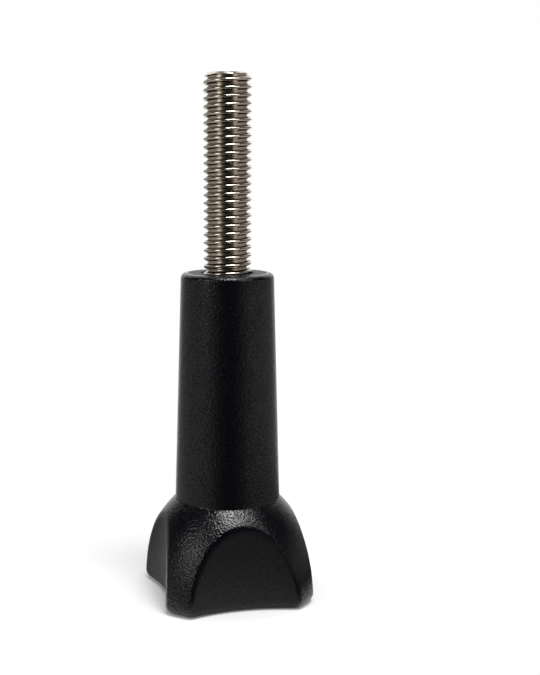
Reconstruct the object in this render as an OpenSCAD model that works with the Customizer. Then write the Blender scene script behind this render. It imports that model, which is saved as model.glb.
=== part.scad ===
// Long thumb screw: a four-lobed moulded handle on a hexagon-head machine screw.
// The handle stands on its base at z = 0 and the screw points up, on the z axis.

/* [Handle] */
// Height of the handle, from its base to the clamp face
handle_h = 33.85; // [20:0.05:60]
// Sleeve diameter at the clamp face
sleeve_top_d = 9.55; // [8:0.05:12]
// Sleeve diameter where it meets the knob
sleeve_foot_d = 10.9; // [9:0.02:14]
// Radius of the rounded edge around the clamp face
top_edge_r = 0.55; // [0.1:0.05:1]
// Clearance hole for the screw
bore_d = 5.3; // [5.1:0.05:6]

/* [Knob] */
// Height of the knob, up to the foot of the sleeve
knob_h = 10.35; // [8:0.05:16]
// Diameter across the lobes at their widest
knob_d = 19.34; // [16:0.02:26]
// Height of the widest point of the lobes
knob_widest_z = 0.2; // [0:0.1:2]
// Radius of the rounded edge around the base
base_edge_r = 1; // [0.1:0.05:1.2]
// Fillet between the knob's crown and the sleeve
seam_fillet_r = 0.25; // [0.05:0.05:1]

/* [Finger scallops] */
// Number of scallops, evenly spaced around the knob
scallop_count = 4; // [3:1:6]
// Distance across the waist between two opposite scallops, at the base
waist_d = 13.64; // [12:0.04:15]
// Radius of a scallop at the base
scallop_r = 15.7; // [10:0.1:30]
// Draft of the scallop walls, which lean outward as they rise
scallop_draft = 0.5; // [0:0.25:6]

/* [Screw] */
// Length of the screw under its head
screw_l = 50; // [42:0.5:60]
// Diameter over the thread's crests
thread_d = 4.95; // [4.8:0.01:5]
// Length of the threaded end, with its chamfer
thread_l = 20.05; // [12:0.05:36]
// Diameter of the flat at the tip
tip_flat_d = 4.0; // [3:0.1:4.6]
// Angle of the tip chamfer, from the axis
tip_chamfer_angle = 45; // [30:1:60]
// Diameter of the plain rolled shank inside the bore
shank_d = 4.48; // [4:0.02:4.9]

/* [Hexagon head] */
// Head width across its flats
head_af = 8; // [7:0.1:9]
// Height of the head
head_h = 3.5; // [2:0.1:5]
// Depth of the head's outer face above the knob's base
head_recess = 0.4; // [0.1:0.05:2]
// Gap between each flat of the head and its pocket
head_gap = 0.05; // [0.02:0.01:0.3]
// Angle of the chamfer on the head's corners, from its outer face
head_chamfer_angle = 30; // [15:1:40]

/* [Hidden] */
$fn = 96;
plastic = [0.07, 0.07, 0.075];
steel = [0.72, 0.70, 0.67];
cut_over = 1;
hex_sides = 6;
// Straight steps along the crown's arc
crown_steps = 16;

// Sleeve side, a straight line that narrows upward
sleeve_top_r = sleeve_top_d / 2;
sleeve_foot_r = sleeve_foot_d / 2;
sleeve_taper = atan((sleeve_foot_r - sleeve_top_r) / (handle_h - knob_h));
function sleeve_r(z) = sleeve_top_r + (handle_h - z) * tan(sleeve_taper);

// Centre of the rounded top edge, which touches the clamp face and the sleeve side
top_edge_z = handle_h - top_edge_r;
top_edge_x = sleeve_r(top_edge_z) - top_edge_r / cos(sleeve_taper);

// Crown of the knob, one arc from its widest point to the foot of the sleeve
knob_r = knob_d / 2;
crown_rise = knob_h - knob_widest_z;
crown_x = (knob_r ^ 2 - sleeve_foot_r ^ 2 - crown_rise ^ 2) / (2 * (knob_r - sleeve_foot_r));
crown_r = knob_r - crown_x;

// Centre of the rounded base edge, which touches the base and the crown
base_edge_x = crown_x + sqrt((crown_r - base_edge_r) ^ 2 - (base_edge_r - knob_widest_z) ^ 2);
base_edge_turn = atan2(base_edge_r - knob_widest_z, base_edge_x - crown_x);

// Centre of the seam fillet, which touches the crown and the sleeve side
function fillet_x(z) = sleeve_r(z) + seam_fillet_r / cos(sleeve_taper);
function fillet_reach(z) = norm([fillet_x(z) - crown_x, z - knob_widest_z]);
function fillet_seat(low, high, steps = 40) = let (mid = (low + high) / 2)
    steps == 0 ? mid
    : fillet_reach(mid) < crown_r + seam_fillet_r ? fillet_seat(mid, high, steps - 1)
    : fillet_seat(low, mid, steps - 1);
seam_z = fillet_seat(knob_h - seam_fillet_r, knob_h + 3 * seam_fillet_r);
seam_x = fillet_x(seam_z);

// Points along the crown's arc, from the base edge to the seam fillet
crown_top_turn = atan2(seam_z - knob_widest_z, seam_x - crown_x);
function crown_point(share) = let (turn = base_edge_turn + (crown_top_turn - base_edge_turn) * share)
    [crown_x + crown_r * cos(turn), knob_widest_z + crown_r * sin(turn)];

// Head and pocket: the head's bearing face is the pocket's ceiling
seat_z = head_recess + head_h;
screw_tip_z = seat_z + screw_l;
thread_foot_z = screw_tip_z - thread_l;
pocket_af = head_af + 2 * head_gap;
function hex_r(af) = af / 2 / cos(180 / hex_sides);

waist_r = waist_d / 2;
scallop_axis_r = waist_r + scallop_r;
// How far a scallop's rounded edge runs on below the base, which cuts it at a fine line
edge_sink = base_edge_r / 40;

// Half profile of the handle before its scallops, bore and pocket
module handle_outline() {
    difference() {
        polygon([
            [0, 0],
            [base_edge_x, 0],
            [base_edge_x, base_edge_r],
            for (i = [0 : crown_steps]) crown_point(i / crown_steps),
            [seam_x - seam_fillet_r * cos(sleeve_taper), seam_z - seam_fillet_r * sin(sleeve_taper)],
            [top_edge_x + top_edge_r * cos(sleeve_taper), top_edge_z + top_edge_r * sin(sleeve_taper)],
            [top_edge_x, top_edge_z],
            [top_edge_x, handle_h],
            [0, handle_h]
        ]);
        translate([seam_x, seam_z]) circle(r = seam_fillet_r);
    }
    translate([base_edge_x, base_edge_r]) circle(r = base_edge_r);
    translate([top_edge_x, top_edge_z]) circle(r = top_edge_r);
}

// Half profile of one scallop cutter, whose foot flares to round the scallop's bottom edge
module scallop_outline() {
    edge_z = base_edge_r - edge_sink;
    edge_x = scallop_r - edge_z * tan(scallop_draft) + base_edge_r / cos(scallop_draft);
    edge_top_x = edge_x - base_edge_r * cos(scallop_draft);
    edge_top_z = edge_z - base_edge_r * sin(scallop_draft);
    crown_clear_z = knob_h + cut_over;
    polygon([
        [0, edge_top_z],
        [edge_top_x, edge_top_z],
        [scallop_r - crown_clear_z * tan(scallop_draft), crown_clear_z],
        [0, crown_clear_z]
    ]);
    difference() {
        polygon([
            [0, -cut_over],
            [edge_x, -cut_over],
            [edge_x, edge_z],
            [edge_top_x, edge_top_z],
            [0, edge_top_z]
        ]);
        translate([edge_x, edge_z]) circle(r = base_edge_r);
    }
}

module scallops() {
    for (i = [0 : scallop_count - 1])
        rotate(i * 360 / scallop_count)
            translate([scallop_axis_r, 0])
                rotate_extrude() scallop_outline();
}

module handle() {
    color(plastic)
    difference() {
        // Turned so that the ring's start lies along a lobe
        rotate(180 / scallop_count) rotate_extrude() handle_outline();
        scallops();
        translate([0, 0, -cut_over]) cylinder(r = hex_r(pocket_af), h = seat_z + cut_over, $fn = hex_sides);
        cylinder(d = bore_d, h = handle_h + cut_over);
    }
}

// Hexagon head, its bearing face up and the corners of its outer face chamfered
module head() {
    chamfer_h = (hex_r(head_af) - head_af / 2) * tan(head_chamfer_angle);
    intersection() {
        translate([0, 0, head_recess]) cylinder(r = hex_r(head_af), h = head_h, $fn = hex_sides);
        rotate_extrude() polygon([
            [0, head_recess],
            [head_af / 2, head_recess],
            [hex_r(head_af), head_recess + chamfer_h],
            [hex_r(head_af), seat_z],
            [0, seat_z]
        ]);
    }
}

module screw() {
    thread_r = thread_d / 2;
    tip_r = tip_flat_d / 2;
    chamfer_foot_z = screw_tip_z - (thread_r - tip_r) / tan(tip_chamfer_angle);
    color(steel) {
        head();
        rotate_extrude() polygon([
            [0, head_recess + head_h / 2],
            [shank_d / 2, head_recess + head_h / 2],
            [shank_d / 2, thread_foot_z],
            [thread_r, thread_foot_z],
            [thread_r, chamfer_foot_z],
            [tip_r, screw_tip_z],
            [0, screw_tip_z]
        ]);
    }
}

handle();
screw();
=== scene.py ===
"""Looks of a long thumb screw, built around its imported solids.

The handle is one black moulding: a tapered sleeve on a domed knob with four finger scallops.
The screw is rolled stainless steel: a hexagon head under the knob and a thread out of the sleeve.
All lengths are in metres, +Z is up and the screw's axis is the z axis.
"""
import logging
from dataclasses import dataclass, field
from enum import Enum
from typing import ClassVar

import bmesh
import bpy
import numpy as np
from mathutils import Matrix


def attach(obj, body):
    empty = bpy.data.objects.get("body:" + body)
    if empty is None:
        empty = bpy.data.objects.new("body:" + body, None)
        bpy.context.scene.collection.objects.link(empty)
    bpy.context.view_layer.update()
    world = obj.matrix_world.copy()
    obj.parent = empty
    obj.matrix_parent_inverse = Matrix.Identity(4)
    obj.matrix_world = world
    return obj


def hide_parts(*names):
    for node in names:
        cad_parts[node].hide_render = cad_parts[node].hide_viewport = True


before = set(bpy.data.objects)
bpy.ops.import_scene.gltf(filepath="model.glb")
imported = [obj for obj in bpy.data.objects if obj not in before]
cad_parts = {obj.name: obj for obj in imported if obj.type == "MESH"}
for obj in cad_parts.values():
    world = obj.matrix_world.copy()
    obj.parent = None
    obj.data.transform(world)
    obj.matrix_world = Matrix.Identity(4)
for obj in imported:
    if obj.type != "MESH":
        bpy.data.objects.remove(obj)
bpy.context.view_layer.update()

LOG = logging.getLogger("thumb_screw")
MM = 0.001
TURN = 2 * np.pi

Color = tuple[float, float, float, float]
Span = tuple[float, float]
UNIT: Span = (0.0, 1.0)
BOTH_WAYS: Span = (-1.0, 1.0)

# How often an interval is halved to find a radius or a height
HALVINGS = 40
# Where the search for the knob's side begins outside it, as a share of the knob's radius
SEARCH_REACH = 1.05
# Rings that close a disc, as shares of its radius
CAP_SHARES = (1.0, 0.6, 0.25, 0.0)


class Slot(Enum):
    """The record's material slots."""

    PLASTIC = "moulded_plastic"
    STEEL = "stainless_steel"


class Shade(Enum):
    """Kinds of shader node that the finishes and the studio use."""

    PRINCIPLED = "ShaderNodeBsdfPrincipled"
    DIFFUSE = "ShaderNodeBsdfDiffuse"
    EMISSION = "ShaderNodeEmission"
    BACKGROUND = "ShaderNodeBackground"
    ADD = "ShaderNodeAddShader"
    MIX = "ShaderNodeMixShader"
    MATERIAL_OUTPUT = "ShaderNodeOutputMaterial"
    WORLD_OUTPUT = "ShaderNodeOutputWorld"
    COORDINATES = "ShaderNodeTexCoord"
    MAPPING = "ShaderNodeMapping"
    NOISE = "ShaderNodeTexNoise"
    VORONOI = "ShaderNodeTexVoronoi"
    ATTRIBUTE = "ShaderNodeAttribute"
    BUMP = "ShaderNodeBump"
    RANGE = "ShaderNodeMapRange"
    MATH = "ShaderNodeMath"
    VECTOR = "ShaderNodeVectorMath"
    BLEND = "ShaderNodeMix"
    LIGHT_PATH = "ShaderNodeLightPath"


class Math(Enum):
    """Operations that make one value of two."""

    ADD = "ADD"
    SUBTRACT = "SUBTRACT"
    MULTIPLY = "MULTIPLY"
    MAXIMUM = "MAXIMUM"


class Graph:
    """A node tree with short calls to add, set and join its nodes."""

    # A Mix node's sockets for colours, by number because its other kinds share their names
    FIRST_COLOR: ClassVar[int] = 6
    SECOND_COLOR: ClassVar[int] = 7
    MIXED_COLOR: ClassVar[int] = 2

    def __init__(self, tree: bpy.types.NodeTree) -> None:
        """Takes a node tree and empties it.

        Args:
            tree: The node tree of a material or a world.
        """
        self.tree = tree
        tree.nodes.clear()

    def add(self, shade: Shade, **settings: object) -> bpy.types.Node:
        """Adds a node and sets its properties.

        Args:
            shade: The kind of node.
            **settings: Node properties by name, such as operation or feature.

        Returns:
            The new node.
        """
        node = self.tree.nodes.new(shade.value)
        for name, value in settings.items():
            setattr(node, name, value)
        return node

    def put(self, node: bpy.types.Node, values: dict[str | int, object]) -> bpy.types.Node:
        """Fills input sockets: another node's output socket is linked, anything else is set.

        Args:
            node: The node whose inputs are filled.
            values: Value or output socket by input name or index.

        Returns:
            The same node.
        """
        for name, value in values.items():
            socket = node.inputs[name]
            if isinstance(value, bpy.types.NodeSocket):
                self.tree.links.new(value, socket)
            else:
                socket.default_value = value
        return node

    def math(self, operation: Math, first: object, second: object) -> bpy.types.NodeSocket:
        """Adds a Math node and returns its result.

        Args:
            operation: What the node does with the two.
            first: First operand, a number or an output socket.
            second: Second operand, a number or an output socket.

        Returns:
            The node's output socket.
        """
        node = self.add(Shade.MATH, operation=operation.value)
        return self.put(node, {0: first, 1: second}).outputs[0]

    def glow(self, strength: object) -> bpy.types.NodeSocket:
        """Adds an Emission node of a strength, which is a number or an output socket."""
        return self.put(self.add(Shade.EMISSION), {"Strength": strength}).outputs[0]

    def mix(
        self, share: object, first: bpy.types.NodeSocket, second: bpy.types.NodeSocket
    ) -> bpy.types.NodeSocket:
        """Mixes two shaders.

        Args:
            share: Share of the second shader, a number or an output socket.
            first: The shader that shows at a share of 0.
            second: The shader that shows at a share of 1.

        Returns:
            The output socket of the mix.
        """
        return self.put(self.add(Shade.MIX), {0: share, 1: first, 2: second}).outputs[0]

    def blend(self, share: bpy.types.NodeSocket, colors: tuple[Color, Color]) -> bpy.types.NodeSocket:
        """Mixes two colours.

        Args:
            share: Share of the second colour.
            colors: The colours that show at a share of 0 and at a share of 1.

        Returns:
            The output socket of the mix.
        """
        node = self.add(Shade.BLEND, data_type="RGBA")
        self.put(node, {0: share, self.FIRST_COLOR: colors[0], self.SECOND_COLOR: colors[1]})
        return node.outputs[self.MIXED_COLOR]

    def noise(self, place: bpy.types.NodeSocket, size: float, detail: float) -> bpy.types.NodeSocket:
        """Adds soft noise.

        Args:
            place: The coordinates.
            size: Size of its patches, in the coordinates' unit.
            detail: Number of finer layers on it.

        Returns:
            The output socket, with values around a half.
        """
        node = self.add(Shade.NOISE)
        return self.put(node, {"Vector": place, "Scale": 1 / size, "Detail": detail}).outputs["Fac"]

    def drift(
        self, place: bpy.types.NodeSocket, size: float, detail: float, spread: float
    ) -> bpy.types.NodeSocket:
        """Adds soft noise around 0.

        Args:
            place: The coordinates.
            size: Size of its patches, in the coordinates' unit.
            detail: Number of finer layers on it.
            spread: What the noise is multiplied by.

        Returns:
            The output socket.
        """
        swing = self.math(Math.SUBTRACT, self.noise(place, size, detail), 0.5)
        return self.math(Math.MULTIPLY, swing, spread)

    def bump(self, height: bpy.types.NodeSocket) -> bpy.types.NodeSocket:
        """Adds a Bump node over a height in metres and returns its normal."""
        return self.put(self.add(Shade.BUMP), {"Height": height, "Distance": 1.0}).outputs["Normal"]

    def remap(
        self, value: bpy.types.NodeSocket, source: Span, target: Span = UNIT
    ) -> bpy.types.NodeSocket:
        """Carries a value smoothly from one range to another.

        Args:
            value: The value to carry over.
            source: Lowest and highest value going in.
            target: What they become.

        Returns:
            The output socket with the new value.
        """
        node = self.add(Shade.RANGE, interpolation_type="SMOOTHSTEP")
        self.put(node, {0: value, 1: source[0], 2: source[1], 3: target[0], 4: target[1]})
        return node.outputs[0]


@dataclass(frozen=True)
class PlasticFinish:
    """Black moulded plastic, spark-eroded on the crown and sleeve and plain in the scallops.

    The piece's own attribute grain is 0 where the plastic is plain and 1 where it is grained.

    Attributes:
        colors: Colour of the plain parts, paler as painted light, and of the grained parts.
        roughness: Roughness of the plain and of the grained parts.
        roughness_spread: How much the roughness drifts over the piece.
        edge_polish: How much less rough the rounded edges are, where grain is a half.
        relief: Height of the plain and of the grained parts' relief, for each unit of its pattern.
        relief_span: Values of grain between which the relief grows.
        sheen: Specular level of the plain and of the grained parts.
        sheen_spread: Share of it that comes and goes with the pores, plain and grained.
        refraction: Index of refraction.
        cell: Size of the rounded cells.
        cell_softness: How much the cells run into each other.
        pore: Size of the finer noise.
        pore_detail: Finer layers on that noise.
        pore_share: Height of the finer noise against that of the cells.
        pore_span: Values of the finer noise between which the sheen changes.
        cloud: Size of the slow drift.
        cloud_detail: Finer layers on the drift.
    """

    # The first, plain colour is paler than the plastic: painted light that brightens the scallops and the
    # other plain parts
    colors: tuple[Color, Color] = ((0.0038, 0.0041, 0.0054, 1.0), (0.0016, 0.0018, 0.003, 1.0))
    roughness: Span = (0.58, 0.18)
    roughness_spread: float = 0.06
    edge_polish: float = 0.2
    relief: Span = (0.0025 * MM, 0.03 * MM)
    relief_span: Span = (0.45, 1.0)
    sheen: Span = (0.34, 0.5)
    sheen_spread: Span = (0.3, 0.6)
    refraction: float = 1.5
    cell: float = 0.2 * MM
    cell_softness: float = 0.35
    pore: float = 0.15 * MM
    pore_detail: float = 2.0
    pore_share: float = 1.1
    pore_span: Span = (0.3, 0.7)
    cloud: float = 3.0 * MM
    cloud_detail: float = 3.0

    def build(self) -> bpy.types.Material:
        """Makes the material.

        The height is the sum of rounded cells and finer noise, deep on the grain and shallow on the
        plain parts. The roughness goes from one to the other, drifts slowly over the piece and is
        least on the rounded edges, where the polish times 4 g (1 - g) is taken off it, with g the
        grain. The plain parts shine less and are a little paler, painted light that brightens the
        scallops, and the sheen varies with the finer noise, most on the grain.

        Returns:
            The finished material.
        """
        material = bpy.data.materials.new("moulded_black_plastic")
        material.use_nodes = True
        graph = Graph(material.node_tree)
        place = graph.add(Shade.COORDINATES).outputs["Object"]
        grain = graph.add(Shade.ATTRIBUTE, attribute_name=Handle.GRAIN).outputs["Fac"]

        cells = graph.add(Shade.VORONOI, feature="SMOOTH_F1")
        graph.put(cells, {"Vector": place, "Scale": 1 / self.cell, "Smoothness": self.cell_softness})
        pores = graph.noise(place, self.pore, self.pore_detail)
        finer = graph.math(Math.MULTIPLY, pores, self.pore_share)
        pattern = graph.math(Math.ADD, cells.outputs["Distance"], finer)
        height = graph.math(Math.MULTIPLY, pattern, graph.remap(grain, self.relief_span, self.relief))

        beside = graph.math(Math.MULTIPLY, grain, graph.math(Math.SUBTRACT, 1.0, grain))
        polish = graph.math(Math.MULTIPLY, beside, 4 * self.edge_polish)
        base = graph.math(Math.SUBTRACT, graph.remap(grain, UNIT, self.roughness), polish)
        drift = graph.drift(place, self.cloud, self.cloud_detail, self.roughness_spread)

        spread = graph.remap(grain, UNIT, self.sheen_spread)
        speckle = graph.math(Math.MULTIPLY, graph.remap(pores, self.pore_span, BOTH_WAYS), spread)
        level = graph.remap(grain, UNIT, self.sheen)
        sheen = graph.math(Math.MULTIPLY, level, graph.math(Math.ADD, speckle, 1.0))

        # The socket's own value is the mean sheen, under the link. The mean stays in
        # the socket for an export that can't take a linked level
        shader = graph.put(graph.add(Shade.PRINCIPLED), {"Specular IOR Level": sum(self.sheen) / 2})
        graph.put(shader, {
            # Plain parts get the paler colour, which is painted light
            "Base Color": graph.blend(grain, self.colors),
            "Roughness": graph.math(Math.ADD, base, drift),
            "IOR": self.refraction,
            "Specular IOR Level": sheen,
            "Normal": graph.bump(height),
        })
        graph.put(graph.add(Shade.MATERIAL_OUTPUT), {"Surface": shader.outputs["BSDF"]})
        return material


@dataclass(frozen=True)
class SteelFinish:
    """Rolled stainless steel, slightly warm, with fine rolling lines around the axis.

    Attributes:
        colors: Colour of the plain steel, at the thread's crests and roots, and the darker, browner colour
            painted on its flanks as shade.
        flank_shade_span: Values of the piece's own attribute flank between which the colour changes.
        roughness: Middle of the roughness.
        roughness_spread: How much the roughness drifts over the piece.
        line_pitch: Distance along the axis between rolling lines.
        line_length: Length of a line around the axis.
        line_height: Height of the lines' relief, for each unit of its pattern.
        line_detail: Finer layers on the lines.
        cloud: Size of the slow drift.
        cloud_detail: Finer layers on the drift.
    """

    # The flanks' darker, browner colour is painted shade between the thread's crests
    colors: tuple[Color, Color] = ((0.83, 0.745, 0.65, 1.0), (0.3, 0.232, 0.175, 1.0))
    flank_shade_span: Span = (0.2, 0.65)
    roughness: float = 0.12
    roughness_spread: float = 0.08
    line_pitch: float = 0.035 * MM
    line_length: float = 4.0 * MM
    line_height: float = 0.0004 * MM
    line_detail: float = 2.0
    cloud: float = 0.9 * MM
    cloud_detail: float = 4.0

    def build(self) -> bpy.types.Material:
        """Makes the material.

        The height is noise drawn out around the axis, so it reads as rolling lines, and the
        roughness drifts with a softer noise. The colour goes from the plain steel's, at the thread's
        crests and roots, to darker and browner on its flanks, where the attribute flank is near 1:
        painted shade in the thread's grooves.

        Returns:
            The finished material.
        """
        material = bpy.data.materials.new("rolled_stainless_steel")
        material.use_nodes = True
        graph = Graph(material.node_tree)
        place = graph.add(Shade.COORDINATES).outputs["Object"]

        stretch = graph.add(Shade.MAPPING)
        around, along = 1 / self.line_length, 1 / self.line_pitch
        graph.put(stretch, {"Vector": place, "Scale": (around, around, along)})
        lines = graph.noise(stretch.outputs["Vector"], 1.0, self.line_detail)
        drift = graph.drift(place, self.cloud, self.cloud_detail, self.roughness_spread)

        flank = graph.add(Shade.ATTRIBUTE, attribute_name=Screw.FLANK).outputs["Fac"]
        shader = graph.add(Shade.PRINCIPLED)
        graph.put(shader, {
            # Flanks painted darker and browner: painted shade in the grooves
            "Base Color": graph.blend(graph.remap(flank, self.flank_shade_span), self.colors),
            "Metallic": 1.0,
            "Roughness": graph.math(Math.ADD, drift, self.roughness),
            "Normal": graph.bump(graph.math(Math.MULTIPLY, lines, self.line_height)),
        })
        graph.put(graph.add(Shade.MATERIAL_OUTPUT), {"Surface": shader.outputs["BSDF"]})
        return material


def new_object(name: str, data: bpy.types.ID) -> bpy.types.Object:
    """Makes an object and links it to the scene.

    Args:
        name: The object's name.
        data: Its mesh, lamp or camera.

    Returns:
        The object, at the origin.
    """
    item = bpy.data.objects.new(name, data)
    bpy.context.scene.collection.objects.link(item)
    return item


@dataclass
class Skin:
    """A surface as arrays: its points, its faces and values held at its points."""

    points: np.ndarray
    faces: list[np.ndarray]
    values: dict[str, np.ndarray] = field(default_factory=dict)

    @staticmethod
    def wrap(rows: int, columns: int, closed: bool = False, shift: int = 0) -> np.ndarray:
        """Faces of a grid of points whose columns run around the axis.

        Face (j, i) joins rows j and j + 1 at columns i and i + 1. The last column joins the first,
        shift rows further on, and in a closed grid the last row joins the first.

        Args:
            rows: Number of rows of points.
            columns: Number of columns of points.
            closed: True where the last row joins the first.
            shift: Rows that a full turn climbs.

        Returns:
            One row of four point numbers for each face, seen from outside in turning order.
        """
        last = rows if closed else rows - 1 - shift
        j, i = np.meshgrid(np.arange(last), np.arange(columns), indexing="ij")
        beyond = (i + 1) % columns
        climb = np.where(i + 1 == columns, shift, 0)
        corners = (
            j * columns + i,
            (j + climb) % rows * columns + beyond,
            (j + 1 + climb) % rows * columns + beyond,
            (j + 1) % rows * columns + i,
        )
        return np.stack(corners, axis=-1).reshape(-1, 4)

    @staticmethod
    def join(*skins: "Skin") -> "Skin":
        """Puts several surfaces into one.

        Args:
            *skins: The surfaces.

        Returns:
            One surface with all their points, faces and values, 0 where a surface has no such value.
        """
        starts = np.cumsum([0] + [len(skin.points) for skin in skins])
        faces = [face + start for skin, start in zip(skins, starts) for face in skin.faces]
        values = {
            key: np.concatenate([skin.values.get(key, np.zeros(len(skin.points))) for skin in skins])
            for key in dict.fromkeys(key for skin in skins for key in skin.values)
        }
        return Skin(np.concatenate([skin.points for skin in skins]), faces, values)

    def to_object(self, name: str, crease: float) -> bpy.types.Object:
        """Makes a Blender object of the surface, with coinciding points merged.

        Args:
            name: The object's name.
            crease: Angle in radians above which an edge is shaded as a corner.

        Returns:
            The object, at the origin and linked to the scene.
        """
        corners = np.concatenate([block.ravel() for block in self.faces])
        totals = np.concatenate([np.full(len(block), block.shape[1]) for block in self.faces])
        mesh = bpy.data.meshes.new(name)
        mesh.vertices.add(len(self.points))
        mesh.vertices.foreach_set("co", self.points.astype(np.float32).ravel())
        mesh.loops.add(len(corners))
        mesh.loops.foreach_set("vertex_index", corners.astype(np.int32))
        mesh.polygons.add(len(totals))
        mesh.polygons.foreach_set("loop_start", (np.cumsum(totals) - totals).astype(np.int32))
        mesh.update(calc_edges=True)
        for key, value in self.values.items():
            attribute = mesh.attributes.new(key, "FLOAT", "POINT")
            attribute.data.foreach_set("value", value.astype(np.float32))
        merge_points(mesh)
        mesh.validate()
        mesh.set_sharp_from_angle(angle=crease)
        return new_object(name, mesh)


def merge_points(mesh: bpy.types.Mesh, reach: float = 1e-7) -> None:
    """Merges points that lie on each other and turns all faces outward.

    Args:
        mesh: The mesh, changed in place.
        reach: Largest distance between merged points.
    """
    work = bmesh.new()
    work.from_mesh(mesh)
    bmesh.ops.remove_doubles(work, verts=work.verts, dist=reach)
    bmesh.ops.dissolve_degenerate(work, edges=work.edges, dist=reach)
    bmesh.ops.recalc_face_normals(work, faces=work.faces)
    for face in work.faces:
        face.smooth = True
    work.to_mesh(mesh)
    work.free()


def ring_points(azimuth: np.ndarray, radius: np.ndarray, height: np.ndarray) -> np.ndarray:
    """Points of rings about the z axis.

    A point is (radius cos azimuth, radius sin azimuth, height), row by row.

    Args:
        azimuth: Angles in radians, one for each column.
        radius: Radii, rows by columns.
        height: Heights, rows by columns.

    Returns:
        The points, one a row, in row order.
    """
    cos, sin = np.cos(azimuth)[None, :], np.sin(azimuth)[None, :]
    return np.stack([radius * cos, radius * sin, height], axis=-1).reshape(-1, 3)


def hexagon(azimuth: np.ndarray, across_flats: float) -> np.ndarray:
    """Distance from the axis to the side of a hexagon with a corner on +X.

    It is half the width across flats over the cosine of the angle to the nearest flat's middle.

    Args:
        azimuth: Angles in radians.
        across_flats: Width across flats.

    Returns:
        One distance for each angle.
    """
    sector = TURN / 6
    return across_flats / 2 / np.cos(azimuth % sector - sector / 2)


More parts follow.
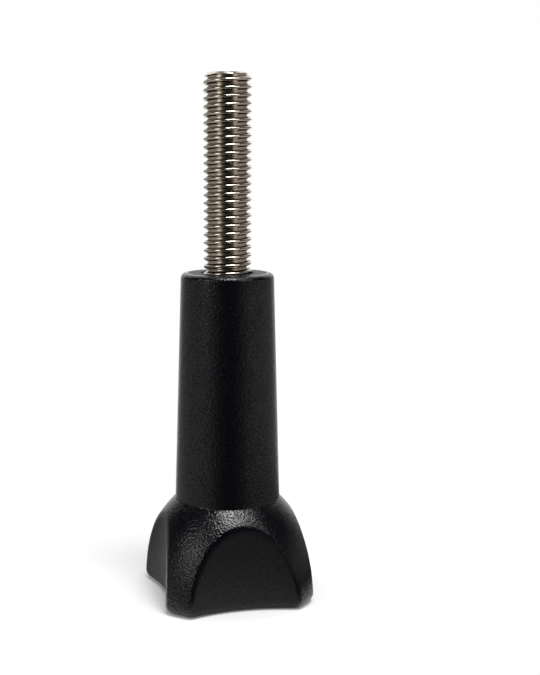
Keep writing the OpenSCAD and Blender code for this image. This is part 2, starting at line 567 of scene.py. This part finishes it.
@dataclass
class Handle:
    """The moulding: a domed knob with finger scallops, and a sleeve that narrows upward.

    A name that ends in _r is a radius, in _h or _z a height, in _af a width across flats and in
    _rows a number of rings. The face_grain is the grain of the clamp face, arch_ease the radius of
    the soft edge between the crown and a scallop, and crease the angle in radians above which an
    edge is shaded as a corner.
    """

    GRAIN: ClassVar[str] = "grain"

    height: float = 33.85 * MM
    sleeve_top_r: float = 4.775 * MM
    sleeve_foot_r: float = 5.45 * MM
    top_edge_r: float = 0.55 * MM
    bore_r: float = 2.65 * MM
    bore_edge_r: float = 0.05 * MM
    knob_h: float = 10.35 * MM
    knob_r: float = 9.67 * MM
    widest_z: float = 0.2 * MM
    base_edge_r: float = 1.0 * MM
    seam_fillet_r: float = 0.25 * MM
    scallops: int = 4
    waist_r: float = 6.82 * MM
    scallop_r: float = 15.7 * MM
    scallop_draft: float = np.radians(0.5)
    arch_ease: float = 0.32 * MM
    seat_z: float = 3.9 * MM
    pocket_af: float = 8.1 * MM
    pocket_edge_r: float = 0.12 * MM
    face_grain: float = 0.15
    crease: float = np.radians(38)
    columns: int = 480
    base_edge_rows: int = 11
    crown_rows: int = 118
    fillet_rows: int = 8
    sleeve_rows: int = 14
    top_edge_rows: int = 10
    face_rows: int = 7
    small_edge_rows: int = 5
    bore_rows: int = 8
    pocket_rows: int = 4
    base_rows: int = 6

    def __post_init__(self) -> None:
        """Works out the crown's arc and the sleeve's taper."""
        rise = self.knob_h - self.widest_z
        across = self.knob_r**2 - self.sleeve_foot_r**2 - rise**2
        self.crown_x = across / (2 * (self.knob_r - self.sleeve_foot_r))
        self.crown_r = self.knob_r - self.crown_x
        self.taper = np.arctan2(self.sleeve_foot_r - self.sleeve_top_r, self.height - self.knob_h)
        self.azimuth = np.arange(self.columns) * TURN / self.columns

    def sleeve_r(self, z: np.ndarray | float) -> np.ndarray | float:
        """Radius of the sleeve's side at a height: a straight line from foot to top."""
        return self.sleeve_top_r + (self.height - z) * np.tan(self.taper)

    def seam_centre(self) -> tuple[float, float]:
        """Finds the centre of the fillet between the crown and the sleeve.

        It lies a fillet radius outside the sleeve's side and a fillet radius outside the crown's
        arc, found by halving the interval of heights.

        Returns:
            Its distance from the axis and its height.
        """
        low, high = self.knob_h - self.seam_fillet_r, self.knob_h + 3 * self.seam_fillet_r
        for _ in range(HALVINGS):
            z = (low + high) / 2
            x = self.sleeve_r(z) + self.seam_fillet_r / np.cos(self.taper)
            reach = np.hypot(x - self.crown_x, z - self.widest_z)
            low, high = (z, high) if reach < self.crown_r + self.seam_fillet_r else (low, z)
        return x, z

    def outside(self, radius: np.ndarray, z: np.ndarray, ease: float) -> tuple[np.ndarray, np.ndarray]:
        """How far points lie outside the knob.

        The distance to the crown is that to its arc's centre less the arc's radius. The distance
        into a scallop is the scallop's radius at that height less the distance to its axis. The two
        are joined as a rounded corner: where both are above minus the ease, the value is their
        length as a pair, each plus the ease, less the ease.

        Args:
            radius: Distances from the axis, rows by columns.
            z: Heights, rows by columns.
            ease: Radius of the rounded corner.

        Returns:
            The distance outside, and the share of it that is the crown's, from 0 to 1.
        """
        crown = np.hypot(radius - self.crown_x, z - self.widest_z) - self.crown_r
        sector = TURN / self.scallops
        beside = (self.azimuth[None, :] + sector / 2) % sector - sector / 2
        axis_x = self.waist_r + self.scallop_r
        gap = np.sqrt(radius**2 + axis_x**2 - 2 * radius * axis_x * np.cos(beside))
        scallop = (self.scallop_r - z * np.tan(self.scallop_draft) - gap) * np.cos(self.scallop_draft)
        near = (np.maximum(crown + ease, 0), np.maximum(scallop + ease, 0))
        value = np.minimum(np.maximum(crown, scallop), -ease) + np.hypot(*near)
        share = np.clip((crown - scallop) / (2 * ease) + 0.5, 0, 1)
        return value, share

    def knob_side(self, z: np.ndarray, inset: float = 0.0) -> tuple[np.ndarray, np.ndarray]:
        """Radius of the knob's side around the axis at given heights.

        Each radius is found by halving an interval until the distance outside is minus the inset.
        The corner's ease grows by the inset, so that the corners stay as round further in.

        Args:
            z: Heights, one for each row.
            inset: Depth under the knob's side at which the radius is taken.

        Returns:
            Radii and crown shares, rows by columns.
        """
        z = np.broadcast_to(z[:, None], (len(z), self.columns))
        low = np.full(z.shape, self.bore_r)
        high = np.full(z.shape, self.knob_r * SEARCH_REACH)
        for _ in range(HALVINGS):
            middle = (low + high) / 2
            value, share = self.outside(middle, z, self.arch_ease + inset)
            inner = value < -inset
            low, high = np.where(inner, middle, low), np.where(inner, high, middle)
        return middle, share

    def skin(self) -> Skin:
        """The whole moulding as one closed surface.

        Rings follow its section: up the side from the base edge, over the crown, the seam fillet,
        the sleeve and the clamp face, down the bore, out under the pocket's ceiling, down the
        hexagonal pocket and out over the base to where they began.

        Returns:
            The surface, with the grain attribute at its points.
        """
        seam_x, seam_z = self.seam_centre()
        rows: list[tuple[np.ndarray, np.ndarray, np.ndarray]] = []

        def ring(radius: np.ndarray | float, z: np.ndarray | float, grain: np.ndarray | float) -> None:
            """Adds one ring, each value a number or one for each column."""
            rows.append(tuple(np.broadcast_to(value, self.columns) for value in (radius, z, grain)))

        def arc(
            x: np.ndarray | float, z: float, radius: float, turns: np.ndarray, grain: float
        ) -> None:
            """Adds a ring at each turn of an arc about a point of the section."""
            for turn in turns:
                ring(x + radius * np.cos(turn), z + radius * np.sin(turn), grain)

        # Grain fades to 0 down the base edge, so the edge shines less towards the floor, which is painted
        # shade there, and where grain is a half the edge polish leaves a painted highlight line along it
        for turn in np.linspace(0, np.pi / 2, self.base_edge_rows)[:-1]:
            inset = self.base_edge_r * (1 - np.sin(turn))
            side, share = self.knob_side(np.array([self.base_edge_r]), inset)
            ring(side[0], self.base_edge_r * (1 - np.cos(turn)), share[0] * np.sin(turn))
        first = np.arcsin((self.base_edge_r - self.widest_z) / self.crown_r)
        last = np.arctan2(seam_z - self.widest_z, seam_x - self.crown_x)
        heights = self.widest_z + self.crown_r * np.sin(np.linspace(first, last, self.crown_rows))
        for side, share, z in zip(*self.knob_side(heights), heights):
            ring(side, z, share)
        turns = np.linspace(last + np.pi, np.pi + self.taper, self.fillet_rows)[1:]
        arc(seam_x, seam_z, self.seam_fillet_r, turns, 1.0)
        edge_z = self.height - self.top_edge_r
        edge_x = self.sleeve_r(edge_z) - self.top_edge_r / np.cos(self.taper)
        for z in np.linspace(seam_z, edge_z, self.sleeve_rows)[1:-1]:
            ring(self.sleeve_r(z), z, 1.0)
        turns = np.linspace(self.taper, np.pi / 2, self.top_edge_rows)
        arc(edge_x, edge_z, self.top_edge_r, turns, 1.0)
        lip = self.bore_r + self.bore_edge_r
        for radius in np.linspace(edge_x, lip, self.face_rows)[1:-1]:
            ring(radius, self.height, self.face_grain)
        turns = np.linspace(np.pi / 2, np.pi, self.small_edge_rows)
        arc(lip, self.height - self.bore_edge_r, self.bore_edge_r, turns, 0.0)
        for z in np.linspace(self.height - 2 * self.bore_edge_r, self.seat_z, self.bore_rows):
            ring(self.bore_r, z, 0.0)
        pocket = hexagon(self.azimuth, self.pocket_af)
        mouth = pocket + self.pocket_edge_r
        ring(pocket, self.seat_z, 0.0)
        for z in np.linspace(self.seat_z, self.pocket_edge_r, self.pocket_rows)[1:-1]:
            ring(pocket, z, 0.0)
        turns = np.linspace(np.pi, 3 * np.pi / 2, self.small_edge_rows)
        arc(mouth, self.pocket_edge_r, self.pocket_edge_r, turns, 0.0)
        foot = self.knob_side(np.array([self.base_edge_r]), self.base_edge_r)[0][0]
        for share in np.linspace(0, 1, self.base_rows)[1:-1]:
            ring(mouth + (foot - mouth) * share, 0.0, 0.0)

        radius, z, grain = (np.array(part) for part in zip(*rows))
        faces = Skin.wrap(len(rows), self.columns, closed=True)
        return Skin(ring_points(self.azimuth, radius, z), [faces], {self.GRAIN: grain.ravel()})

    def build(self, finish: PlasticFinish) -> bpy.types.Object:
        """Makes the handle, dresses it and lets it stand for its solid.

        Args:
            finish: The plastic's finish.

        Returns:
            The handle's object.
        """
        item = self.skin().to_object("moulded_handle", self.crease)
        item.data.materials.append(finish.build())
        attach(item, "root")
        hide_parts("handle")
        return item


@dataclass
class Screw:
    """The machine screw: hexagon head down, thread up, with a chamfered tip.

    Names end as those of the handle do. The flank_angle is that between a flank and the axis, and
    first_crest the height of a crest on +X over the run-out's foot, in pitches. The head's outer
    face is head_flat of its width across flats, and head_edge is the share of its radius that its
    upper edge is cut back by. The thread's grid has turn_rows rows to a turn and begins turns_below
    turns under the run-out's foot.
    """

    FLANK: ClassVar[str] = "flank"

    crest_r: float = 2.475 * MM
    root_r: float = 2.04 * MM
    pitch: float = 0.8 * MM
    crest_arc: float = 0.16 * MM
    flank_angle: float = np.radians(60)
    first_crest: float = -0.32
    tip_z: float = 53.9 * MM
    tip_flat_r: float = 2.0 * MM
    thread_foot_z: float = 32.0 * MM
    runout: float = 0.9 * MM
    shank_r: float = 2.24 * MM
    neck_r: float = 0.25 * MM
    seat_z: float = 3.9 * MM
    head_h: float = 3.5 * MM
    head_af: float = 8.0 * MM
    head_chamfer: float = np.radians(30)
    head_flat: float = 0.95
    head_edge: float = 0.02
    crease: float = np.radians(42)
    columns: int = 96
    turn_rows: int = 22
    turns_below: int = 2
    shank_rows: int = 6
    neck_rows: int = 6

    def __post_init__(self) -> None:
        """Spreads the columns around the axis."""
        self.azimuth = np.arange(self.columns) * TURN / self.columns

    def thread_radius(self, share: np.ndarray) -> np.ndarray:
        """Radius of the thread across one pitch.

        It is a 60 degree V whose crest and root are arcs that touch the flanks. The V's full height
        is the crest's height over the root plus both arcs' radii, which gives the root's arc. An
        arc ends where it has turned by 60 degrees.

        Args:
            share: Place along the pitch, 0 at one crest and 1 at the next.

        Returns:
            One radius for each place.
        """
        slope = np.tan(self.flank_angle)
        root_arc = self.pitch / 2 * slope - (self.crest_r - self.root_r) - self.crest_arc
        from_crest = self.pitch * (0.5 - np.abs(share % 1 - 0.5))
        from_root = self.pitch / 2 - from_crest
        flank = self.crest_r + self.crest_arc - from_crest * slope
        rise = np.sqrt(np.maximum(self.crest_arc**2 - from_crest**2, 0))
        crest = self.crest_r - self.crest_arc + rise
        root = self.root_r + root_arc - np.sqrt(np.maximum(root_arc**2 - from_root**2, 0))
        turned = np.sin(self.flank_angle)
        radius = np.where(from_crest < self.crest_arc * turned, crest, flank)
        return np.where(from_root < root_arc * turned, root, radius)

    def thread(self) -> Skin:
        """The thread and the tip's chamfer.

        Rows climb with the helix: a point's height is its row's share of the pitch, plus its
        column's share of a turn times the pitch. The radius is the thread's, no more than the
        chamfer cone's at that height, and it fades to the shank over the run-out. Rows beyond
        either end lie on the end ring, where they merge. The flank attribute is 1 halfway between
        root and crest and falls evenly to 0 at both.

        Returns:
            The surface from the run-out's foot to the rim of the tip.
        """
        above = int(np.ceil((self.tip_z - self.thread_foot_z) / self.pitch)) + 1
        turns = self.turns_below + above
        row = np.arange(turns * self.turn_rows + 1)[:, None]
        climb = row / self.turn_rows + self.azimuth[None, :] / TURN - self.turns_below
        height = self.thread_foot_z + self.pitch * climb
        z = np.clip(height, self.thread_foot_z, self.tip_z)
        share = (z - self.thread_foot_z) / self.pitch - self.azimuth / TURN - self.first_crest
        radius = self.thread_radius(share)
        fade = np.clip((z - self.thread_foot_z) / self.runout, 0, 1)
        radius = self.shank_r + (radius - self.shank_r) * fade**2 * (3 - 2 * fade)
        # The flank attribute marks where the steel is painted darker, as shade in the grooves
        middle = (self.crest_r + self.root_r) / 2
        flank = np.clip(1 - np.abs(radius - middle) / (self.crest_r - middle), 0, 1) * fade
        cone = self.tip_flat_r + (self.tip_z - z)
        flank = np.where(radius < cone, flank, 0)
        radius = np.minimum(radius, cone)
        radius = np.where(z >= self.tip_z, self.tip_flat_r, radius)
        faces = Skin.wrap(len(row), self.columns, shift=self.turn_rows)
        return Skin(ring_points(self.azimuth, radius, z), [faces], {self.FLANK: flank.ravel()})

    def tip(self) -> Skin:
        """The flat at the tip: rings that shrink to the axis.

        Returns:
            The surface inside the rim of the tip.
        """
        share = np.array(CAP_SHARES)[:, None]
        radius = self.tip_flat_r * share * np.ones(self.columns)
        height = np.full_like(radius, self.tip_z)
        return Skin(ring_points(self.azimuth, radius, height), [Skin.wrap(len(share), self.columns)])

    def shank_and_head(self) -> Skin:
        """The plain shank in the bore and the hexagon head under it.

        Rings run down the shank, over the neck's fillet, out to the hexagon, down its sides to
        where the chamfer's cone cuts them, and in over the outer face to the axis.

        Returns:
            The surface from the run-out's foot to the middle of the head's outer face.
        """
        side = hexagon(self.azimuth, self.head_af)
        flat_r = self.head_af / 2 * self.head_flat
        foot_z = self.seat_z - self.head_h
        cut_z = foot_z + (side - flat_r) * np.tan(self.head_chamfer)
        ones = np.ones(self.columns)
        neck_x, neck_z = self.shank_r + self.neck_r, self.seat_z + self.neck_r
        rows = [(self.shank_r, z) for z in np.linspace(self.thread_foot_z, neck_z, self.shank_rows)]
        rows += [
            (neck_x + self.neck_r * np.cos(turn), neck_z + self.neck_r * np.sin(turn))
            for turn in np.linspace(np.pi, 3 * np.pi / 2, self.neck_rows)[1:]
        ]
        rows += [(side * (1 - self.head_edge), self.seat_z)]
        edge_z = self.seat_z - self.head_edge * side
        rows += [(side, z) for z in (edge_z, (cut_z + self.seat_z) / 2, cut_z)]
        rows += [(flat_r * share, foot_z) for share in CAP_SHARES]
        radius = np.array([ones * part[0] for part in rows])
        height = np.array([ones * part[1] for part in rows])
        return Skin(ring_points(self.azimuth, radius, height), [Skin.wrap(len(rows), self.columns)])

    def build(self, finish: SteelFinish) -> bpy.types.Object:
        """Makes the screw, dresses it and lets it stand for its solid.

        Args:
            finish: The steel's finish.

        Returns:
            The screw's object.
        """
        whole = Skin.join(self.thread(), self.tip(), self.shank_and_head())
        item = whole.to_object("steel_screw", self.crease)
        item.data.materials.append(finish.build())
        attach(item, "root")
        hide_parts("screw")
        return item


@dataclass(frozen=True)
class Softbox:
    """An oval lamp that faces the object, its angles in degrees as seen from there.

    Attributes:
        name: The lamp's name.
        turn: Angle from the camera's side to the lamp's, to the right.
        elevation: Angle above level.
        half_width: Half of the angle that its width fills.
        half_height: Half of the angle that its height fills.
        radiance: Its radiance.
        distance: Distance in metres from the point that it faces.
    """

    name: str
    turn: float
    elevation: float
    half_width: float
    half_height: float
    radiance: float
    distance: float = 0.6

    def build(self, target: np.ndarray, front: float) -> bpy.types.Object:
        """Makes the lamp.

        Its sizes are twice its distance times the tangents of its half angles, and its power is its
        radiance times its area times pi.

        Args:
            target: The point that it faces.
            front: Azimuth of the camera in radians.

        Returns:
            The lamp's object.
        """
        halves = np.radians((self.half_width, self.half_height))
        width, height = 2 * self.distance * np.tan(halves)
        azimuth, elevation = front + np.radians(self.turn), np.radians(self.elevation)
        lamp = bpy.data.lights.new(self.name, "AREA")
        lamp.shape = "ELLIPSE"
        lamp.size, lamp.size_y = width, height
        lamp.energy = self.radiance * np.pi * (np.pi / 4 * width * height)
        item = new_object(self.name, lamp)
        level = np.cos(elevation)
        away = np.array([np.sin(azimuth) * level, -np.cos(azimuth) * level, np.sin(elevation)])
        item.location = target + away * self.distance
        item.rotation_euler = (np.pi / 2 - elevation, 0.0, azimuth)
        return item


@dataclass
class Studio:
    """The camera, the pale floor, the white backdrop, the dark room around it and the lamps.

    A direction's facing is the cosine of its level angle to the front. The values from lit_reach on
    to card_end, apart from surround, hold only in mirrors and through glass.

    Attributes:
        camera_azimuth: Angle of the camera about the z axis, from -Y towards +X.
        camera_distance: Its level distance from the axis.
        camera_height: Its height over the floor.
        camera_pitch: Angle by which it looks down.
        focal_px: Its focal length in pixels.
        image_px: The image's width and height.
        axis_px: Column of the image where the axis shows.
        sensor: Size of its sensor in millimetres, along the image's long side.
        camera_clip: Nearest and farthest distance that it sees.
        floor_half: Half of the floor's side.
        floor_color: The floor's colour where it lights the object.
        shown_color: The floor's colour where it shows.
        floor_glow: Glow of the floor that shows, near the object and further off, painted light that thins
            the object's shadow away from it.
        glow_reach: Distances from the object between which the glow grows.
        white_reach: Distances between which the floor turns to plain white for the camera.
        lit_reach: Distances between which the lit floor gives way to the dim and the white.
        lit_stretch: What a distance is multiplied by there, straight behind and straight in front.
        surround: Strength of the world's even light on the object.
        front: Level in front.
        front_turn: Angle from the camera's side to the darkest direction, to the right.
        front_span: Facings between which the level goes from that of the sides to that in front.
        sides: Level at the sides.
        rear: Level behind, as a share of that at the sides.
        rear_span: Facings between which it gets there.
        backdrop_span: Facings between which the backdrop's white ends.
        room: Level high up, as a share of that at the horizon.
        room_span: Heights of a direction between which it gets there.
        sweep: Share of a direction's height that is taken off its facing.
        card: Level of the dark card, painted shade that only mirrors show.
        card_azimuth: Angle from the camera's side to the card's, to the right.
        card_span: Cosines of the angle to it between which it begins.
        card_reach: Distances between which it begins.
        card_end: Distances between which it ends.
        lamp_target_z: Height of the point that the lamps face.
        softboxes: The lamps.
    """

    camera_azimuth: float = np.radians(-13.985)
    camera_distance: float = 123.095 * MM
    camera_height: float = 45.715 * MM
    camera_pitch: float = np.radians(8.586)
    focal_px: float = 1206.24
    image_px: tuple[int, int] = (540, 675)
    axis_px: float = 226.896
    sensor: float = 36.0
    camera_clip: Span = (0.005, 20.0)
    floor_half: float = 3.0
    floor_color: Color = (0.8, 0.8, 0.8, 1.0)
    shown_color: Color = (0.85, 0.85, 0.85, 1.0)
    floor_glow: Span = (0.07, 0.21)
    glow_reach: Span = (6.5 * MM, 12.0 * MM)
    white_reach: Span = (14 * MM, 34 * MM)
    lit_reach: Span = (9.5 * MM, 26 * MM)
    lit_stretch: Span = (0.66, 1.4)
    surround: float = 0.32
    front: float = 0.03
    front_turn: float = np.radians(4)
    front_span: Span = (0.62, 1.0)
    sides: float = 0.37
    rear: float = 0.68
    rear_span: Span = (-0.84, 0.4)
    backdrop_span: Span = (-0.98, -0.8)
    room: float = 0.12
    room_span: Span = (0.04, 0.32)
    sweep: float = 0.35
    card: float = 0.04
    card_azimuth: float = np.radians(110)
    card_span: Span = (-0.1, 0.35)
    card_reach: Span = (11 * MM, 16 * MM)
    card_end: Span = (34 * MM, 56 * MM)
    lamp_target_z: float = 20 * MM
    softboxes: tuple[Softbox, ...] = (
        Softbox("key", turn=22, elevation=70, half_width=14.5, half_height=13, radiance=12.6),
        Softbox("left", turn=-52, elevation=28, half_width=12, half_height=14, radiance=2.4),
        Softbox("right", turn=50, elevation=42, half_width=12, half_height=11, radiance=2.7),
    )

    def camera(self) -> bpy.types.Object:
        """Makes the camera at the photograph's place.

        The focal length in pixels over the image's long side gives the lens over the sensor, and
        the sideways shift is how far the object's axis shows from the image's middle.

        Returns:
            The camera's object.
        """
        long_side = max(self.image_px)
        lens = bpy.data.cameras.new("camera")
        lens.sensor_width = self.sensor
        lens.lens = self.focal_px * self.sensor / long_side
        lens.shift_x = ((self.image_px[0] - 1) / 2 - self.axis_px) / long_side
        lens.clip_start, lens.clip_end = self.camera_clip
        item = new_object("camera", lens)
        away = self.camera_distance
        item.location = (
            np.sin(self.camera_azimuth) * away,
            -np.cos(self.camera_azimuth) * away,
            self.camera_height,
        )
        item.rotation_euler = (np.pi / 2 - self.camera_pitch, 0.0, self.camera_azimuth)
        bpy.context.scene.camera = item
        return item

    def facing(
        self, graph: Graph, place: bpy.types.NodeSocket, turn: float = 0.0
    ) -> bpy.types.NodeSocket:
        """How far a direction from the object turns to the front.

        Args:
            graph: The node tree.
            place: The direction, whose height is left out.
            turn: Angle in radians from the front to what counts as ahead, to the right.

        Returns:
            The cosine of the angle between them, from -1 to 1.
        """
        level = graph.put(graph.add(Shade.VECTOR, operation="MULTIPLY"), {0: place, 1: (1.0, 1.0, 0.0)})
        unit = graph.put(graph.add(Shade.VECTOR, operation="NORMALIZE"), {0: level.outputs[0]})
        azimuth = self.camera_azimuth + turn
        ahead = (np.sin(azimuth), -np.cos(azimuth), 0.0)
        dot = graph.add(Shade.VECTOR, operation="DOT_PRODUCT")
        return graph.put(dot, {0: unit.outputs[0], 1: ahead}).outputs["Value"]

    def dim(self, graph: Graph, place: bpy.types.NodeSocket) -> bpy.types.NodeSocket:
        """Level of a direction near the horizon: least in front, most at the sides, less behind.

        Args:
            graph: The node tree.
            place: The direction.

        Returns:
            The output socket with the level.
        """
        facing = self.facing(graph, place, self.front_turn)
        ahead = graph.remap(facing, self.front_span, (self.sides, self.front))
        return graph.math(Math.MULTIPLY, ahead, graph.remap(facing, self.rear_span, (self.rear, 1.0)))

    def behind(self, graph: Graph, facing: bpy.types.NodeSocket) -> bpy.types.NodeSocket:
        """Share of the white backdrop in a direction: 1 straight behind the object, 0 to its sides."""
        return graph.remap(facing, self.backdrop_span, (1.0, 0.0))

    def mirrored(self, graph: Graph) -> bpy.types.NodeSocket:
        """Whether a ray comes from a mirror or through glass, as 1 or 0."""
        path = graph.add(Shade.LIGHT_PATH)
        return graph.math(Math.MAXIMUM, path.outputs["Is Glossy Ray"], path.outputs["Is Transmission Ray"])

    def light(self, graph: Graph, level: object) -> bpy.types.NodeSocket:
        """Adds white world light of a level, which is a number or an output socket."""
        node = graph.add(Shade.BACKGROUND)
        return graph.put(node, {"Color": (1.0,) * 4, "Strength": level}).outputs[0]

    def floor(self) -> bpy.types.Object:
        """Makes the floor, a plain pale plane that keeps the object's shadow.

        Seen directly it is its own diffuse light plus a glow, painted light that grows with the
        distance from the object and brings it to white, so the object's shadow fades close to it,
        and far off it is white alone. In a mirror it is the same near the object. Further off it
        is white behind it, dimmer to the sides and dark in front, and a dark card lies to its
        right: painted shade in the floor's reflection.

        Returns:
            The floor's object.
        """
        half = self.floor_half
        corners = np.array([[-half, -half, 0], [half, -half, 0], [half, half, 0], [-half, half, 0]])
        mesh = bpy.data.meshes.new("floor")
        mesh.from_pydata(corners, [], [[0, 1, 2, 3]])
        item = new_object("floor", mesh)

        material = bpy.data.materials.new("pale_floor")
        material.use_nodes = True
        graph = Graph(material.node_tree)
        place = graph.add(Shade.COORDINATES).outputs["Object"]
        reach = graph.put(graph.add(Shade.VECTOR, operation="LENGTH"), {0: place}).outputs["Value"]
        plain = graph.put(graph.add(Shade.DIFFUSE), {"Color": self.floor_color}).outputs[0]
        shown = graph.put(graph.add(Shade.DIFFUSE), {"Color": self.shown_color}).outputs[0]
        # The glow is painted light: less of it near the object keeps the shadow dark there, and more
        # further off washes the shadow out
        glow = graph.glow(graph.remap(reach, self.glow_reach, self.floor_glow))
        white = graph.glow(1.0)
        lit = graph.put(graph.add(Shade.ADD), {0: shown, 1: glow}).outputs[0]
        seen = graph.mix(graph.remap(reach, self.white_reach), lit, white)

        facing = self.facing(graph, place)
        away = graph.mix(self.behind(graph, facing), graph.glow(self.dim(graph, place)), white)
        stretch = graph.remap(facing, BOTH_WAYS, self.lit_stretch)
        past = graph.remap(graph.math(Math.MULTIPLY, reach, stretch), self.lit_reach)
        clear = graph.mix(past, lit, away)
        # The dark card is painted shade in the floor's reflection, to the object's right, seen only in
        # mirrors
        aside = graph.remap(self.facing(graph, place, self.card_azimuth), self.card_span)
        begun = graph.remap(reach, self.card_reach)
        ended = graph.remap(reach, self.card_end, (1.0, 0.0))
        covered = graph.math(Math.MULTIPLY, aside, graph.math(Math.MULTIPLY, begun, ended))
        mirror = graph.mix(covered, clear, graph.glow(self.card))

        camera = graph.add(Shade.LIGHT_PATH).outputs["Is Camera Ray"]
        first = graph.mix(self.mirrored(graph), plain, mirror)
        last = graph.mix(camera, first, seen)
        graph.put(graph.add(Shade.MATERIAL_OUTPUT), {"Surface": last})
        mesh.materials.append(material)
        return item

    def surroundings(self) -> bpy.types.World:
        """Makes the world: even light, a white backdrop, and in a mirror a dark room around it.

        The backdrop sweeps up behind the object, so it widens with height: about a third of a
        direction's height is taken off its facing. The room is as bright as the dim floor at the
        horizon and falls to about an eighth of that above.

        Returns:
            The world.
        """
        world = bpy.data.worlds.new("studio")
        world.use_nodes = True
        graph = Graph(world.node_tree)
        place = graph.add(Shade.COORDINATES).outputs["Generated"]
        upward = graph.add(Shade.VECTOR, operation="DOT_PRODUCT")
        height = graph.put(upward, {0: place, 1: (0.0, 0.0, 1.0)}).outputs["Value"]
        swept = graph.math(Math.MULTIPLY, height, self.sweep)
        facing = graph.math(Math.SUBTRACT, self.facing(graph, place), swept)
        fall = graph.remap(height, self.room_span, (1.0, self.room))
        dim = graph.math(Math.MULTIPLY, self.dim(graph, place), fall)
        dark, even, white = (self.light(graph, level) for level in (dim, self.surround, 1.0))
        room = graph.mix(self.behind(graph, facing), dark, white)
        camera = graph.add(Shade.LIGHT_PATH).outputs["Is Camera Ray"]
        first = graph.mix(self.mirrored(graph), even, room)
        last = graph.mix(camera, first, white)
        graph.put(graph.add(Shade.WORLD_OUTPUT), {"Surface": last})
        bpy.context.scene.world = world
        return world

    def lamps(self) -> list[bpy.types.Object]:
        """Makes the lamps: a wide one high in front, and one in front to each side.

        Returns:
            The lamps' objects.
        """
        target = np.array([0.0, 0.0, self.lamp_target_z])
        return [softbox.build(target, self.camera_azimuth) for softbox in self.softboxes]

    def build(self) -> None:
        """Sets the whole studio up."""
        bpy.context.scene.view_settings.view_transform = "Standard"
        self.camera()
        self.floor()
        self.surroundings()
        self.lamps()


def main() -> None:
    """Builds the studio and the two pieces, and reports each."""
    logging.basicConfig(level=logging.INFO, format="%(name)s: %(message)s")
    Studio().build()
    for piece in (Handle().build(PlasticFinish()), Screw().build(SteelFinish())):
        points, faces = len(piece.data.vertices), len(piece.data.polygons)
        size = [round(length / MM, 2) for length in piece.dimensions]
        LOG.info("%s: %d points, %d faces, %s mm", piece.name, points, faces, size)


if __name__ == "__main__":
    main()
